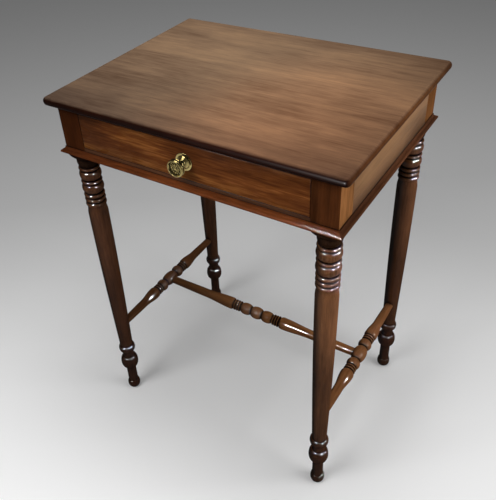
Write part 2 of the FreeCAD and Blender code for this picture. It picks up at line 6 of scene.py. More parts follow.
import bmesh
import bpy
from bpy.props import FloatProperty, FloatVectorProperty, IntProperty, PointerProperty
from mathutils import Matrix, Vector

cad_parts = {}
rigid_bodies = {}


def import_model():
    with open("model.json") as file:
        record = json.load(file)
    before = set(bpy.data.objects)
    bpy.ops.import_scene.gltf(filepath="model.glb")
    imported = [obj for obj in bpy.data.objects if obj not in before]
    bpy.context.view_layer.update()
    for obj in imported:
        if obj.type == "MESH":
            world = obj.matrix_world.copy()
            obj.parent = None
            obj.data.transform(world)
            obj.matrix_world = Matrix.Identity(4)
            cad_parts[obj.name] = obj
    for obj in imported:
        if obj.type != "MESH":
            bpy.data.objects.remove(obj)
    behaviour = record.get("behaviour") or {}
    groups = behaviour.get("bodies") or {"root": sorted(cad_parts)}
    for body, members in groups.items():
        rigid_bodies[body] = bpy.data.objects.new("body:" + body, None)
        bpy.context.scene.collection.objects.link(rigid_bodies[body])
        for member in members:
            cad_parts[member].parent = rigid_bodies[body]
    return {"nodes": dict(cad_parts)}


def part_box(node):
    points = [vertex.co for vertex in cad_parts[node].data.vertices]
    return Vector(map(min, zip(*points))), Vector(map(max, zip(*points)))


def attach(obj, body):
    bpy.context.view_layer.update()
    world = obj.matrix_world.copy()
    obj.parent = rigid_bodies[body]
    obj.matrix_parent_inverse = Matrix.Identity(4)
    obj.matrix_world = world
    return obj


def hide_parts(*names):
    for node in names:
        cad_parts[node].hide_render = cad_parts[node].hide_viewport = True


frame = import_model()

bl_info = {
    "name": "Tavern Table",
    "version": (1, 0, 0),
    "blender": (4, 5, 0),
    "location": "3D View > Sidebar > Tavern Table",
    "description": "Builds a turned mahogany side table with one drawer around its solid frame",
    "category": "Add Mesh",
}

MM = 0.001
WELD = 1e-6  # points nearer than this, in metres, are one point
NEAR = 1e-5  # points nearer a plane than this lie in it
FLAT = math.radians(1)  # faces meeting at less than this lie in one plane
SHARP = math.radians(32)  # edges sharper than this stay crisp
X, Y, Z = Vector((1, 0, 0)), Vector((0, 1, 0)), Vector((0, 0, 1))
SIDES = ("left", "right")
CORNERS = ("front_left", "front_right", "back_left", "back_right")

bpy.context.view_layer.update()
TOP_LOW, TOP_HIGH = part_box("top_board")
LEG_LOW, LEG_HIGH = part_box("leg_front_right")
RAIL_LOW, RAIL_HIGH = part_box("side_rail_right")
MOULDING_LOW, MOULDING_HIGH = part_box("moulding_front")
ROSE_LOW, ROSE_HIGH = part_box("knob_rose")
KNOB_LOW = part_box("knob")[0]
CROSS_LOW, CROSS_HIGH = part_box("cross_stretcher")
PETAL_RING = 0.0066  # from the knob's axis to the middle of a petal
PETAL_DEPTH = 0.0032  # from the knob's face back to the middles of the petals and the boss
PETAL_SIZE = (0.0027, 0.0013, 0.0014)  # half sizes of a petal and of the boss between them
BOSS_SIZE = (0.0028, 0.0028, 0.0018)
NOSE_SHARE = 0.45  # of the moulding's height that is its rounded nose
FLOOR_REACH = 15.0  # from the middle of the floor to its sides
FLOOR_EVENNESS = (0.8, 1.2)  # the least and the most that its tone changes from side to side
FLOOR_NEARNESS = (0.25, 1.55)  # from the floor seen farthest to the nearest, one over metres
FLOOR_SHARES = (0.25, 0.9, 0.1)  # of its tone: as a bounce sees it, as it is seen, and its own glow


# ---------------------------------------------------------------- what a user would change
def colour(name, description, default):
    """A setting that holds a colour."""
    return FloatVectorProperty(
        name=name, description=description, default=default, min=0, max=1, size=3, subtype="COLOR")


def length(name, description, default, least, most):
    """A setting that holds a length in metres."""
    return FloatProperty(
        name=name, description=description, default=default, min=least, max=most,
        unit="LENGTH", subtype="DISTANCE")


def power(name, description, default):
    """A setting that holds the power of a light in watts."""
    return FloatProperty(
        name=name, description=description, default=default, min=0, max=2000, unit="POWER")


def turn(name, description, degrees):
    """A setting that holds an angle."""
    return FloatProperty(
        name=name, description=description, default=math.radians(degrees),
        unit="ROTATION", subtype="ANGLE")


class TableSizes(bpy.types.PropertyGroup):
    """Sizes of the details that dress the frame."""

    corner_radius: length("Top Corner", "Radius of the corners of the top, in plan", 0.008, 0.001, 0.05)
    edge_round: length("Top Edge", "Radius of the rounded edge of the top", 0.007, 0.0005, 0.0074)
    post: length("Post", "Width of the square head of each leg", LEG_HIGH.x - LEG_LOW.x, 0.04, 0.08)
    post_arris: length("Post Arris", "Width taken off the long edges of the posts", 0.0005, 0.0001, 0.003)
    board_arris: length(
        "Board Arris", "Width taken off the edges of the rails and the drawer front", 0.0003, 0.0001, 0.002)
    turning_steps: IntProperty(
        name="Turning Steps", description="Faces round each turned piece", default=64, min=16, max=128)
    petals: IntProperty(
        name="Petals", description="Petals of the rosette on the knob", default=12, min=5, max=24)


class TableColours(bpy.types.PropertyGroup):
    """Colours of the woods, the polish and the metal."""

    top_light: colour("Top Light", "Palest streaks of the top", (0.475, 0.245, 0.121))
    top_brown: colour("Top Brown", "Body colour of the top", (0.348, 0.181, 0.095))
    top_dark: colour("Top Dark", "Darkest streaks of the top", (0.224, 0.108, 0.055))
    rail_honey: colour("Rail Honey", "Body colour of the side and back rails", (0.385, 0.196, 0.080))
    frieze_brown: colour(
        "Frieze Brown", "Body colour of the front rails and the posts", (0.130, 0.047, 0.017))
    drawer_brown: colour("Drawer Brown", "Body colour of the drawer front", (0.230, 0.068, 0.017))
    drawer_gold: colour("Drawer Gold", "Golden figure of the drawer front", (0.50, 0.185, 0.044))
    moulding_red: colour("Moulding", "Red-brown of the moulding round the frieze", (0.220, 0.060, 0.017))
    moulding_side: colour(
        "Moulding Side", "Browner wood of the moulding's two side lengths", (0.125, 0.048, 0.022))
    leg_brown: colour("Leg Brown", "Body colour of the legs", (0.240, 0.098, 0.039))
    stretcher_gold: colour("Stretcher Gold", "Warm colour of the cross stretcher", (0.200, 0.082, 0.028))
    # the edges' tint is painted shade on the rounded edges of the top, with a redder polish
    edge_red_and_shade: colour(
        "Edge Red", "Tint of the darker, redder polish on the edges of the top", (0.15, 0.055, 0.030))
    # the deep tint darkens pieces away from their middles: partly aged polish, partly painted shade
    deep_polish_and_shade: colour(
        "Deep Polish", "Tint of the polish where it has darkened, away from the middles", (0.50, 0.50, 0.52))
    # the grime colour also serves as the colour of painted shade in quirks, on shaded sides and at the legs'
    # necks
    grime_and_shade: colour("Grime", "Old wax and dust in quirks and joints", (0.012, 0.007, 0.005))
    bare_wood: colour(
        "Bare Wood", "Unpolished softwood of the drawer and its housing", (0.288, 0.177, 0.084))
    brass: colour("Brass", "Pale gold of the knob", (0.42, 0.33, 0.13))
    tarnish: colour("Tarnish", "Dull brown of the brass in its hollows", (0.040, 0.032, 0.012))
    steel: colour("Steel", "Dull grey of the nut", (0.32, 0.30, 0.28))
    floor_tones: FloatVectorProperty(
        name="Floor Tones", description="Tone of the floor in five even steps, from far behind the table",
        default=(0.435, 0.486, 0.75, 0.87, 0.93), min=0, max=1, size=5)
    floor_side: FloatProperty(
        name="Floor Side", description="How much paler the floor is written towards the left",
        default=0.14, min=-1, max=1)


class TableStage(bpy.types.PropertyGroup):
    """Where the camera and the lights are, and how bright they are."""

    azimuth: turn("Azimuth", "Direction of the camera round the table, from the front", 35.673)
    elevation: turn("Elevation", "Height of the camera's view above level", 36.49)
    roll: turn("Roll", "Tilt of the camera about its own view", -4.267)
    place: FloatVectorProperty(
        name="Camera", description="Place of the camera",
        default=(0.516271, -0.828663, 1.148844), size=3, unit="LENGTH", subtype="TRANSLATION")
    lens: FloatProperty(
        name="Lens", description="Focal length for a picture 36 mm on its long side",
        default=46.112, min=10, max=300)
    shift_x: FloatProperty(name="Shift X", description="Sideways shift of the view", default=0.0575)
    shift_y: FloatProperty(name="Shift Y", description="Upward shift of the view", default=-0.0466)
    sky: FloatProperty(
        name="Sky", description="Strength of the even light from all round", default=0.15, min=0, max=2)
    right_light: power("Right Light", "Power of the soft light at the right of the table", 25.0)
    front_light: power("Front Light", "Power of the soft light at the left of the front", 26.0)
    overhead_light: power("Top Light", "Power of the soft light above the table", 22.0)
    glint: power("Glint", "Power of each light that only draws highlights on the polish", 1250.0)


# ---------------------------------------------------------------- outlines of turned work
class Outline:
    """Half outline of a turned piece: radius against distance along its axis, in millimetres."""

    def __init__(self, radius, start):
        self.points = [(0.0, start), (radius, start)]

    def run(self, radius, along, steps, share):
        """A curve to a new point. share gives how far out and how far along it is at each step."""
        r, z = self.points[-1]
        for step in range(1, steps + 1):
            out, on = share(step / steps)
            self.points.append((r + (radius - r) * out, z + (along - z) * on))

    def line(self, radius, along):
        """A straight cut."""
        self.points.append((radius, along))

    def bead(self, radius, along, crest, steps=10):
        """A half-round standing out to a crest, or a hollow where the crest is the lower radius."""
        r, z = self.points[-1]
        for step in range(1, steps + 1):
            angle = math.pi * step / steps
            base = r + (radius - r) * step / steps
            middle = (r + radius) / 2
            on = (1 - math.cos(angle)) / 2
            self.points.append((base + (crest - middle) * math.sin(angle), z + (along - z) * on))

    def rise(self, radius, along, steps=8):
        """A quarter-round that ends parallel to the axis."""
        self.run(radius, along, steps, lambda t: (math.sin(t * math.pi / 2), 1 - math.cos(t * math.pi / 2)))

    def fall(self, radius, along, steps=8):
        """A quarter-round that starts parallel to the axis."""
        self.run(radius, along, steps, lambda t: (1 - math.cos(t * math.pi / 2), math.sin(t * math.pi / 2)))

    def ogee(self, radius, along, skew=1.0, steps=14):
        """A double curve, parallel to the axis at both ends. A skew above 1 bends it later."""
        self.run(radius, along, steps, lambda t: ((1 - math.cos(math.pi * t**skew)) / 2, t))

    def swell(self, radius, along, steps=18):
        """A long taper that fills out to a new radius."""
        self.run(radius, along, steps, lambda t: (math.sin(t * math.pi / 2), t))

    def close(self):
        """The last point joined to the axis."""
        self.points.append((0.0, self.points[-1][1]))
        return self


def leg_outline(post, top):
    """Outline of a leg: ball foot, neck, vase, collar, tapered shaft, rings, beads and the square."""
    leg = Outline(5.0, 0.0)
    leg.rise(13.3, 11.0)
    leg.fall(10.4, 21.5)
    leg.line(10.2, 67.0)
    leg.line(11.8, 68.0)
    leg.rise(18.4, 83.0)
    leg.fall(12.4, 99.0)
    leg.bead(12.8, 117.0, 11.6, 12)
    leg.bead(13.4, 133.5, 17.2, 12)
    leg.swell(18.5, 485.5)
    leg.ogee(16.6, 503.5)
    leg.bead(15.6, 511.5, 18.9, 8)
    leg.bead(15.6, 513.5, 15.2, 4)
    leg.bead(15.4, 521.0, 18.9, 8)
    leg.bead(15.4, 523.0, 15.0, 4)
    leg.bead(14.8, 530.5, 18.9, 8)
    leg.bead(14.6, 532.5, 14.4, 4)
    leg.bead(14.4, 550.5, 19.6, 16)
    leg.line(14.4, 551.3)
    leg.bead(14.4, 558.0, 18.9, 8)
    leg.line(14.4, 559.5)
    leg.bead(14.4, 577.5, 19.6, 16)
    leg.line(14.4, 578.3)
    leg.bead(14.6, 585.0, 18.9, 8)
    leg.line(14.8, 587.0)
    leg.bead(16.6, 603.5, 19.0, 14)
    leg.line(16.6, 605.0)
    leg.rise(post / math.sqrt(2) + 0.5, 616.0, 10)
    leg.line(post / math.sqrt(2) + 0.5, top)
    return leg.close()


def mirrored(half):
    """A whole outline from its half, which starts on the axis at mid-length."""
    outer = half[1:]
    return [(r, -z) for r, z in reversed(outer) if z > 0] + list(outer)


def side_outline(reach):
    """Outline of a side stretcher: a ball at mid-length, then bead, rings, vase and taper."""
    half = Outline(13.5, 0.0)
    half.fall(7.4, 17.0)
    half.line(7.0, 19.0)
    half.bead(7.4, 36.5, 13.0, 12)
    half.line(7.0, 38.5)
    half.bead(7.4, 43.0, 11.4, 8)
    half.line(7.4, 44.5)
    half.bead(7.6, 49.0, 11.6, 8)
    half.line(7.6, 50.5)
    half.rise(12.8, 57.0)
    half.ogee(8.9, 96.0, 1.1)
    half.ogee(7.8, reach)
    return half.close()


def cross_outline(reach):
    """Outline of the cross stretcher: three balls, two groups of rings and long tapered vases."""
    half = Outline(13.0, 0.0)
    half.fall(6.6, 13.0)
    half.bead(7.0, 37.5, 12.6, 14)
    half.line(6.8, 39.0)
    half.bead(7.0, 43.0, 11.4, 8)
    half.line(7.0, 44.5)
    half.bead(7.2, 48.5, 11.6, 8)
    half.line(7.2, 50.0)
    half.bead(7.4, 54.0, 11.8, 8)
    half.line(7.6, 55.5)
    half.rise(12.8, 62.0)
    half.ogee(9.2, 128.0, 1.0)
    half.ogee(8.2, reach)
    return half.close()


def rose_outline(thickness):
    """Outline of the knob's rose: a raised rim, a hollow and a collar round the stem."""
    rose = Outline(14.5, 0.0)
    rose.line(14.5, 0.8)
    rose.bead(12.6, 1.6, 14.7, 8)
    rose.bead(11.0, 1.4, 11.2, 6)
    rose.ogee(6.8, thickness, 1.0, 8)
    return rose.close()


def knob_outline(start, face):
    """Outline of the knob in front of its rose: ringed stem, flared drum head and dished face."""
    knob = Outline(7.0, start)
    knob.bead(5.4, start + 2.0, 7.4, 8)
    knob.bead(5.2, start + 5.0, 4.8, 8)
    knob.bead(5.4, start + 7.2, 7.4, 8)
    knob.line(5.2, start + 7.8)
    knob.ogee(11.6, start + 10.6, 0.7, 10)
    knob.bead(12.6, start + 13.2, 14.3, 8)
    knob.bead(12.8, start + 14.6, 12.0, 6)
    knob.bead(12.6, face - 1.3, 14.4, 12)
    knob.bead(12.0, face - 0.3, 13.4, 10)
    knob.ogee(10.4, face - 3.6, 0.8, 8)
    knob.line(3.5, face - 3.3)
    return knob.close()


# ---------------------------------------------------------------- making shapes
def spun(outline, steps):
    """The outline's points turned a full circle about Z, closed at both ends."""
    shape = bmesh.new()
    verts = [shape.verts.new((radius * MM, 0, along * MM)) for radius, along in outline]
    edges = [shape.edges.new(pair) for pair in zip(verts, verts[1:])]
    bmesh.ops.spin(
        shape, geom=verts + edges, cent=(0, 0, 0), axis=Z, angle=math.tau, steps=steps, use_merge=True)
    return tidied(shape)


def tidied(shape):
    """The shape with its doubles merged and its faces turned outward."""
    bmesh.ops.remove_doubles(shape, verts=shape.verts, dist=WELD)
    bmesh.ops.recalc_face_normals(shape, faces=shape.faces)
    return shape


def sawn(shape, point, normal):
    """The shape cut through by a plane. What lies past the plane is removed and the cut is closed."""
    everything = shape.verts[:] + shape.edges[:] + shape.faces[:]
    bmesh.ops.bisect_plane(
        shape, geom=everything, dist=WELD, plane_co=point, plane_no=normal, clear_outer=True)
    open_edges = [edge for edge in shape.edges if edge.is_boundary]
    bmesh.ops.holes_fill(shape, edges=open_edges, sides=0)
    return shape


def moved(shape, place, spin=Matrix()):
    """The shape turned about the origin and then moved."""
    bmesh.ops.transform(shape, matrix=Matrix.Translation(place) @ spin, verts=shape.verts)
    return shape


def softened(shape, edges, width, segments=2):
    """The shape with the given edges rounded off."""
    bmesh.ops.bevel(
        shape, geom=edges, offset=width, offset_type="OFFSET", segments=segments,
        affect="EDGES", profile=0.5, material=-1, clamp_overlap=True)
    return shape


def copied(node):
    """A merged copy of a CAD node's mesh, without edges in its flat faces."""
    shape = bmesh.new()
    shape.from_mesh(frame["nodes"][node].data)
    bmesh.ops.remove_doubles(shape, verts=shape.verts, dist=WELD)
    bmesh.ops.dissolve_limit(shape, angle_limit=FLAT, verts=shape.verts, edges=shape.edges)
    return shape


def in_plane(edge, axis, value):
    """True where an edge lies in the plane across an axis at a value."""
    return all(abs(vert.co[axis] - value) < NEAR for vert in edge.verts)


def finished(shape, name, node, material, body="frame"):
    """The shape as a smooth piece that stands for a CAD node and rides on its body."""
    old = bpy.data.objects.get(name)
    if old:
        bpy.data.objects.remove(old)
    mesh = bpy.data.meshes.new(name)
    shape.to_mesh(mesh)
    shape.free()
    mesh.shade_smooth()
    mesh.set_sharp_from_angle(angle=SHARP)
    mesh.materials.append(material)
    piece = bpy.data.objects.new(name, mesh)
    bpy.context.scene.collection.objects.link(piece)
    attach(piece, body)
    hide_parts(node)
    return piece


def dressed(node, material):
    """A CAD node kept as it is, with its own finish."""
    piece = frame["nodes"][node]
    if not piece.data.materials:
        piece.data.materials.append(material)
    for slot in piece.material_slots:
        slot.material = material


# ---------------------------------------------------------------- shared effects
SOCKETS = {1: "NodeSocketFloat", 3: "NodeSocketVector", 4: "NodeSocketColor"}


def new_group(name, outputs, **inputs):
    """An empty node group with named sockets, or the one that was built before.

    An input's default of four numbers makes it a colour, three a vector, and one a plain value.
    """
    found = bpy.data.node_groups.get(name)
    if found:
        return found, None, None
    group = bpy.data.node_groups.new(name, "ShaderNodeTree")
    for label, default in inputs.items():
        kind = SOCKETS[len(default) if isinstance(default, tuple) else 1]
        socket = group.interface.new_socket(label.replace("_", " "), in_out="INPUT", socket_type=kind)
        socket.default_value = default
    for label in outputs:
        kind = SOCKETS[4 if label == "Color" else 1]
        group.interface.new_socket(label, in_out="OUTPUT", socket_type=kind)
    return group, group.nodes.new("NodeGroupInput"), group.nodes.new("NodeGroupOutput")


def joined(tree, source, target):
    """Links two sockets."""
    tree.links.new(source, target)


def feed(tree, socket, value):
    """Links a socket, or sets it to a plain value."""
    if isinstance(value, bpy.types.NodeSocket):
        joined(tree, value, socket)
    else:
        socket.default_value = value


def fed(tree, kind, **values):
    """A new node with its inputs linked or set. A space in an input's name is written as _."""
    node = tree.nodes.new(kind)
    feed_all(tree, node, **values)
    return node


def feed_all(tree, node, **values):
    """Links or sets several inputs of a node."""
    for label, value in values.items():
        feed(tree, node.inputs[label.replace("_", " ")], value)


def maths(tree, operation, first, second=0.0, clamp=False):
    """One step of arithmetic."""
    node = tree.nodes.new("ShaderNodeMath")
    node.operation = operation
    node.use_clamp = clamp
    feed(tree, node.inputs[0], first)
    feed(tree, node.inputs[1], second)
    return node.outputs[0]


def vector_maths(tree, operation, first, second=(0.0, 0.0, 0.0)):
    """One step of vector arithmetic, which gives a vector, or a value for a length or a dot product."""
    node = tree.nodes.new("ShaderNodeVectorMath")
    node.operation = operation
    feed(tree, node.inputs[0], first)
    feed(tree, node.inputs[1], second)
    return node.outputs["Value" if operation in ("LENGTH", "DOT_PRODUCT") else "Vector"]


def remapped(tree, value, low, high, to_low=0.0, to_high=1.0, kind="LINEAR"):
    """A value carried from one range to another and held there."""
    node = fed(tree, "ShaderNodeMapRange", Value=value, From_Min=low, From_Max=high,
               To_Min=to_low, To_Max=to_high)
    node.interpolation_type = kind
    return node.outputs["Result"]


def blended(tree, share, first, second, kind="MIX"):
    """Two colours mixed by a share."""
    node = tree.nodes.new("ShaderNodeMix")
    node.data_type = "RGBA"
    node.blend_type = kind
    for index, value in ((0, share), (6, first), (7, second)):
        feed(tree, node.inputs[index], value)
    return node.outputs[2]


def tinted(tree, share, color, tint):
    """A colour multiplied by a tint, by a share."""
    return blended(tree, share, color, blended(tree, 1.0, color, tint, "MULTIPLY"))


def weighted(tree, *layers):
    """Values added up, each by its share."""
    parts = [maths(tree, "MULTIPLY", value, share) for value, share in layers]
    total = parts[0]
    for part in parts[1:]:
        total = maths(tree, "ADD", total, part)
    return total


def bumped(tree, height, strength, distance, normal=None):
    """The surface's direction, or an earlier bump of it, roughened by a height."""
    node = fed(tree, "ShaderNodeBump", Height=height, Strength=strength, Distance=distance)
    if normal is not None:
        joined(tree, normal, node.inputs["Normal"])
    return node.outputs["Normal"]


def own_place(tree):
    """A point's place in the piece's own axes."""
    return tree.nodes.new("ShaderNodeTexCoord").outputs["Object"]


def stretched(tree, vector, scale, shift=(0.0, 0.0, 0.0)):
    """A vector scaled along each axis."""
    return fed(tree, "ShaderNodeMapping", Vector=vector, Location=shift, Scale=scale).outputs["Vector"]


def noise(tree, vector, detail=2.0, roughness=0.5, distortion=0.0):
    """Noise whose patches are about one unit wide."""
    node = fed(tree, "ShaderNodeTexNoise", Vector=vector, Scale=1.0, Detail=detail,
               Roughness=roughness, Distortion=distortion)
    return node.outputs[0]


def wood_grain():
    """Node group: streaks, figure and pores of a board whose grain runs along its X."""
    group, start, end = new_group(
        "Wood Grain", ("Color", "Height"), Vector=(0.0, 0.0, 0.0), Dark=(0.1, 0.05, 0.03, 1.0),
        Body=(0.2, 0.1, 0.05, 1.0), Light=(0.3, 0.15, 0.08, 1.0), Contrast=1.0)
    if start is None:
        return group
    vector = start.outputs["Vector"]
    bands = noise(group, stretched(group, vector, (1.6, 16, 16)), 2.0, 0.5, 0.3)
    streaks = noise(group, stretched(group, vector, (7, 85, 85), (4, 2, 7)), 3.0, 0.65, 0.4)
    threads = noise(group, stretched(group, vector, (26, 380, 380), (1, 6, 3)), 2.0, 0.6)
    clouds = noise(group, stretched(group, vector, (8, 18, 18), (3.1, 1.7, 5.3)), 3.0, 0.6)
    pores = noise(group, stretched(group, vector, (75, 1500, 1500)), 1.0)
    mixed = weighted(group, (bands, 0.26), (streaks, 0.28), (threads, 0.20), (clouds, 0.26))
    tone = maths(group, "MULTIPLY", maths(group, "SUBTRACT", mixed, 0.5), start.outputs["Contrast"])
    color = blended(group, remapped(group, tone, 0.0, -0.14), start.outputs["Body"], start.outputs["Dark"])
    color = blended(group, remapped(group, tone, 0.0, 0.14), color, start.outputs["Light"])
    dashes = remapped(group, pores, 0.60, 0.74)
    color = blended(group, maths(group, "MULTIPLY", dashes, 0.30), color, start.outputs["Dark"])
    joined(group, color, end.inputs["Color"])
    height = maths(group, "SUBTRACT", maths(group, "MULTIPLY", threads, 0.5), dashes)
    joined(group, height, end.inputs["Height"])
    return group


def old_polish():
    """Node group: grime and painted shade in the hollows, and the uneven gloss of an old hand polish."""
    group, start, end = new_group(
        "Old Polish", ("Color", "Roughness", "Height", "Hollow"), Vector=(0.0, 0.0, 0.0),
        Color=(0.2, 0.1, 0.05, 1.0), Grime=(0.01, 0.01, 0.01, 1.0), Grime_Depth=0.8,
        Grime_Reach=0.007, Gloss=0.3)
    if start is None:
        return group
    vector = start.outputs["Vector"]
    # the occlusion also reaches other pieces, so quirks, hollows and joints darken with painted shade as
    # well as old grime
    hollow = group.nodes.new("ShaderNodeAmbientOcclusion")
    hollow.samples = 8
    joined(group, start.outputs["Grime Reach"], hollow.inputs["Distance"])
    hollow_grime_and_shade = remapped(group, hollow.outputs["AO"], 0.95, 0.35)
    hollow_grime_and_shade = maths(group, "MULTIPLY", hollow_grime_and_shade, start.outputs["Grime Depth"], True)
    color = blended(group, hollow_grime_and_shade, start.outputs["Color"], start.outputs["Grime"])
    joined(group, color, end.inputs["Color"])
    joined(group, hollow_grime_and_shade, end.inputs["Hollow"])
    smear = noise(group, stretched(group, vector, (9, 14, 14), (2, 5, 8)), 3.0, 0.6, 0.4)
    scuffs = noise(group, stretched(group, vector, (30, 160, 160), (7, 3, 1)), 2.0, 0.7)
    dull = maths(group, "ADD", remapped(group, smear, 0.35, 0.75, -0.05, 0.10),
                 remapped(group, scuffs, 0.55, 0.8, 0.0, 0.12))
    dull = maths(group, "ADD", dull, start.outputs["Gloss"])
    joined(group, maths(group, "ADD", dull, maths(group, "MULTIPLY", hollow_grime_and_shade, 0.35), True),
           end.inputs["Roughness"])
    joined(group, noise(group, stretched(group, vector, (14, 20, 20)), 2.0), end.inputs["Height"])
    return group


def deepening():
    """Node group: a tint laid over a colour more and more, away from the middle of a piece; its tints are
    partly aged polish and partly painted shade.
    """
    group, start, end = new_group(
        "Deepening", ("Color",), Vector=(0.0, 0.0, 0.0), Color=(0.2, 0.1, 0.05, 1.0),
        Tint=(0.5, 0.5, 0.5, 1.0), Middle=(0.0, 0.0, 0.0), Reach=(1.0, 1.0, 1.0))
    if start is None:
        return group
    offset = vector_maths(group, "SUBTRACT", start.outputs["Vector"], start.outputs["Middle"])
    spread = vector_maths(group, "DIVIDE", offset, start.outputs["Reach"])
    patchy = noise(group, stretched(group, start.outputs["Vector"], (9, 9, 9), (2, 4, 6)), 3.0)
    away = maths(group, "ADD", vector_maths(group, "LENGTH", spread),
                 remapped(group, patchy, 0.3, 0.7, -0.05, 0.05))
    mask = remapped(group, away, 0.1, 1.0, kind="SMOOTHSTEP")
    joined(group, tinted(group, mask, start.outputs["Color"], start.outputs["Tint"]), end.inputs["Color"])
    return group


# ---------------------------------------------------------------- finishes
SHADED_SIDE = (-0.9, -0.43, 0.0)  # the way the sides of the turned work face that get painted shade
SHADED_SIDE_DEPTH = 0.9  # how far that painted shade goes towards the grime colour
QUIRK_WAX_AND_SHADE = {"grime_and_shade_depth": 1.8, "grime_and_shade_reach": 0.012}  # old wax between the rings of turned work, with painted shade there
LEG_SHADE = (0.42, 0.38, 0.37)  # painted shade on the legs' polish, darkest on the back left leg and low down
TOP_AGE_AND_SHADE = (  # tint, middle and reach of each darkened stretch of the top: front left, back, right; partly uneven polish, partly painted shade
    ((0.25, 0.26, 0.34), (0.117, 0.111, TOP_HIGH.z), (1.427, 0.497, 1.0)),
    ((0.55, 0.66, 0.76), (0.144, -0.200, TOP_HIGH.z), (0.270, 0.415, 1.0)),
    ((0.51, 0.44, 0.40), (-0.118, -0.366, TOP_HIGH.z), (0.598, 3.111, 1.0)),
)
TOP_OVERHANG_SHADOW = (0.25, 0.22, 0.20)  # painted shadow on the front rail close under the top
SIDE_RAIL_EDGE = (0.20, 0.13, 0.07)  # tint of the side rails near their lower edge and their ends
SHAFT_SHADE = (0.52, 0.50, 0.48)  # painted shade on the legs' lower shafts
SHAFT_FADE = (0.43, 0.30)  # heights between which it comes in, in metres
FOOT_SHADE = (0.62, 0.54, 0.48)  # painted shade on the legs' turned feet
FOOT_FADE = (0.140, 0.125)  # heights between which it comes in
HEAD_FOOT = 0.616  # height at which the turning ends and the square head begins
EDGE_END_SHADE = (0.70, 0.50, 0.34)  # tint of the top's edge at its two ends, where the painted shade is lighter
POST_FRONT = (0.60, 0.45, 0.33)  # tints of the square heads, on their front and side faces: the front their own tone, the lighter sides painted light
POST_SIDE_LIGHT = (1.6, 1.65, 1.40)
TURNS = {"X": (0, 0, 0), "Y": (0, 0, -math.pi / 2), "Z": (0, math.pi / 2, 0)}


def new_material(name):
    """An empty material, its surface shader and its own coordinates, or the one built before."""
    found = bpy.data.materials.get(name)
    if found:
        return found, None, None, None
    material = bpy.data.materials.new(name)
    material.use_nodes = True
    tree = material.node_tree
    shader = tree.nodes["Principled BSDF"]
    return material, tree, shader, own_place(tree)


def along_grain(tree, place, grain, shift):
    """The piece's own coordinates turned so that its grain runs along X."""
    node = fed(tree, "ShaderNodeMapping", Vector=place, Rotation=TURNS[grain], Location=shift)
    return node.outputs["Vector"]


def group_node(tree, group, **values):
    """A node group placed in a material with its own values."""
    node = tree.nodes.new("ShaderNodeGroup")
    node.node_tree = group
    feed_all(tree, node, **values)
    return node


def opaque(tint):
    """A colour with its alpha."""
    return (*tint, 1.0)


def grey(tone):
    """A grey with its alpha."""
    return (tone, tone, tone, 1.0)


def polished(name, grain, colours, age_and_shade_tints, contrast=1.0, gloss=0.34, grime_and_shade_depth=0.85, grime_and_shade_reach=0.007,
             shift=(0.0, 0.0, 0.0), coat=0.012, sheen=0.016, edge=None, side_shade=0.0):
    """French-polished mahogany: dark, body and light colours, with its grain along one axis.

    Each darkening tint, partly aged polish and partly painted shade, has the middle that it spares and how
    far off it is full.
    """
    material, tree, shader, place = new_material(name)
    if tree is None:
        return material
    dark, body, light = colours
    vector = along_grain(tree, place, grain, shift)
    wood = group_node(tree, wood_grain(), Vector=vector, Dark=opaque(dark), Body=opaque(body),
                      Light=opaque(light), Contrast=contrast)
    color = wood.outputs["Color"]
    for tint, middle, reach in age_and_shade_tints:
        aged = group_node(tree, deepening(), Vector=place, Color=color, Tint=opaque(tint),
                          Middle=middle, Reach=reach)
        color = aged.outputs["Color"]
    # painted shade on the top's rounded edges: darkest where they face front and back, lighter at the two
    # ends, with a redder polish
    if edge:
        upright = remapped(tree, height_of(tree, normal_of(tree)), 0.95, 0.55)
        sideways = maths(tree, "ABSOLUTE", dot_of(tree, normal_of(tree), X))
        tint = blended(tree, remapped(tree, sideways, 0.5, 0.9), opaque(edge), opaque(EDGE_END_SHADE))
        color = tinted(tree, upright, color, tint)
    grime_and_shade = opaque(bpy.context.scene.table_colours.grime_and_shade)
    # painted shade: turned work is darkened towards the grime colour on the sides that face one way
    if side_shade:
        away = remapped(tree, dot_of(tree, normal_of(tree), SHADED_SIDE), 0.35, 0.8)
        color = blended(tree, maths(tree, "MULTIPLY", away, side_shade), color, grime_and_shade)
    polish = group_node(tree, old_polish(), Vector=vector, Color=color,
                        Grime=grime_and_shade, Grime_Depth=grime_and_shade_depth, Grime_Reach=grime_and_shade_reach, Gloss=gloss)
    facing = tree.nodes.new("ShaderNodeLayerWeight").outputs["Facing"]
    clean = remapped(tree, polish.outputs["Hollow"], 0.5, 1.0, 1.0, 0.0)
    clean = maths(tree, "MULTIPLY", clean, remapped(tree, facing, 0.35, 0.8, coat, coat * 0.1))
    ripple = bumped(tree, polish.outputs["Height"], 0.35, 0.0012)
    feed_all(tree, shader, Base_Color=polish.outputs["Color"], Roughness=polish.outputs["Roughness"],
             Specular_IOR_Level=sheen, Coat_Weight=clean, Coat_Roughness=0.07,
             Normal=bumped(tree, wood.outputs["Height"], 0.2, 0.00006, ripple))
    return material


def normal_of(tree):
    """The direction that the surface faces, in the piece's own axes."""
    return tree.nodes.new("ShaderNodeTexCoord").outputs["Normal"]


def height_of(tree, vector):
    """The Z part of a vector."""
    node = tree.nodes.new("ShaderNodeSeparateXYZ")
    joined(tree, vector, node.inputs[0])
    return node.outputs["Z"]


def dot_of(tree, vector, direction):
    """How far a vector goes along a direction."""
    return vector_maths(tree, "DOT_PRODUCT", vector, direction)


